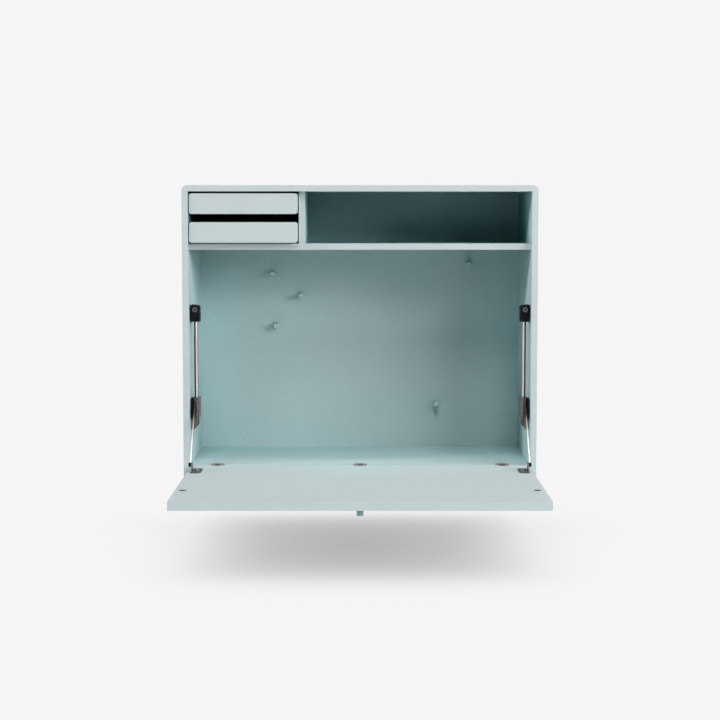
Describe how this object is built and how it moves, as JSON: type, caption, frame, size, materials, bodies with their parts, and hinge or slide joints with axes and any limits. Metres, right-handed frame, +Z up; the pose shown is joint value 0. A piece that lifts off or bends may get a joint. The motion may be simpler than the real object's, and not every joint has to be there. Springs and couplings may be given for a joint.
{
  "type": "fold-down wall desk",
  "caption": "Wall-hung cabinet whose front flap folds down on sliding stays into a writing surface, with small drawers, an open shelf and hanging pegs.",
  "frame": {"origin": "on the wall plane, midway along the screw line of the wall rail", "axes": "+X to the right as seen from the front, +Y into the wall, +Z up"},
  "size_m": [0.696, 0.731, 0.582],
  "materials": {
    "lacquer": "satin lacquer on fibreboard",
    "dowel_wood": "raw beech",
    "runner_nylon": "smooth nylon",
    "rail_aluminium": "mill finish",
    "screw_steel": "zinc plated",
    "strike_steel": "dark steel",
    "magnet": "grey plated",
    "hinge_zinc": "bronze grey die-cast",
    "stay_zinc": "bronze grey die-cast",
    "black_plastic": "fine matt",
    "rod_chrome": "polished"
  },
  "bodies": {
    "root": {"left_side": "lacquer", "right_side": "lacquer", "top_panel": "lacquer", "bottom_panel": "lacquer", "back_panel": "lacquer", "shelf": "lacquer", "divider": "lacquer", "hinge_board": "lacquer", "peg_1": "lacquer", "peg_2": "lacquer", "peg_3": "lacquer", "peg_4": "lacquer", "peg_5": "lacquer", "upper_runners": "runner_nylon", "lower_runners": "runner_nylon", "carcass_dowels": "dowel_wood", "wall_rail": "rail_aluminium", "cabinet_rail": "rail_aluminium", "board_screws": "screw_steel", "stay_screws": "screw_steel", "peg_studs": "screw_steel", "catch_magnets": "magnet", "left_hinge_base": "hinge_zinc", "centre_hinge_base": "hinge_zinc", "right_hinge_base": "hinge_zinc", "left_anchor": "black_plastic", "left_guide_rod": "rod_chrome", "left_rod_foot": "stay_zinc", "right_anchor": "black_plastic", "right_guide_rod": "rod_chrome", "right_rod_foot": "stay_zinc"},
    "flap": {"flap_panel": "lacquer", "flap_knob": "lacquer", "knob_stud": "screw_steel", "strike_plates": "strike_steel", "hinge_pins": "screw_steel", "bracket_screws": "screw_steel", "left_hinge_cup": "hinge_zinc", "centre_hinge_cup": "hinge_zinc", "right_hinge_cup": "hinge_zinc", "left_flap_bracket": "stay_zinc", "right_flap_bracket": "stay_zinc"},
    "left_arm": {"left_stay_arm": "rod_chrome", "left_arm_cap": "black_plastic"},
    "left_slider": {"left_carriage": "stay_zinc", "left_slide_shoe": "black_plastic"},
    "right_arm": {"right_stay_arm": "rod_chrome", "right_arm_cap": "black_plastic"},
    "right_slider": {"right_carriage": "stay_zinc", "right_slide_shoe": "black_plastic"},
    "upper_drawer": {"upper_drawer_front": "lacquer", "upper_drawer_left": "lacquer", "upper_drawer_right": "lacquer", "upper_drawer_back": "lacquer", "upper_drawer_bottom": "lacquer"},
    "lower_drawer": {"lower_drawer_front": "lacquer", "lower_drawer_left": "lacquer", "lower_drawer_right": "lacquer", "lower_drawer_back": "lacquer", "lower_drawer_bottom": "lacquer"}
  },
  "joints": [
    {"name": "flap_fold", "type": "hinge", "parent": "root", "child": "flap", "pos_m": [0, -0.292, -0.519], "axis": [-1, 0, 0], "range_deg": [0, 90]},
    {"name": "left_arm_swing", "type": "hinge", "parent": "flap", "child": "left_arm", "pos_m": [-0.3274, -0.376, -0.498], "axis": [1, 0, 0], "range_deg": [0, 137]},
    {"name": "left_carriage_turn", "type": "hinge", "parent": "left_arm", "child": "left_slider", "pos_m": [-0.3274, -0.278, -0.3926], "axis": [-1, 0, 0], "range_deg": [0, 47]},
    {"name": "right_arm_swing", "type": "hinge", "parent": "flap", "child": "right_arm", "pos_m": [0.3274, -0.376, -0.498], "axis": [1, 0, 0], "range_deg": [0, 137]},
    {"name": "right_carriage_turn", "type": "hinge", "parent": "right_arm", "child": "right_slider", "pos_m": [0.3274, -0.278, -0.3926], "axis": [-1, 0, 0], "range_deg": [0, 47]},
    {"name": "upper_drawer_slide", "type": "slide", "parent": "root", "child": "upper_drawer", "axis": [0, -1, 0], "range_m": [0, 0.18]},
    {"name": "lower_drawer_slide", "type": "slide", "parent": "root", "child": "lower_drawer", "axis": [0, -1, 0], "range_m": [0, 0.18]}
  ],
  "couplings": [
    {"joint": "left_arm_swing", "follows": "flap_fold", "ratio": 1.5078},
    {"joint": "left_carriage_turn", "follows": "flap_fold", "ratio": 0.50782},
    {"joint": "right_arm_swing", "follows": "flap_fold", "ratio": 1.5078},
    {"joint": "right_carriage_turn", "follows": "flap_fold", "ratio": 0.50782}
  ]
}
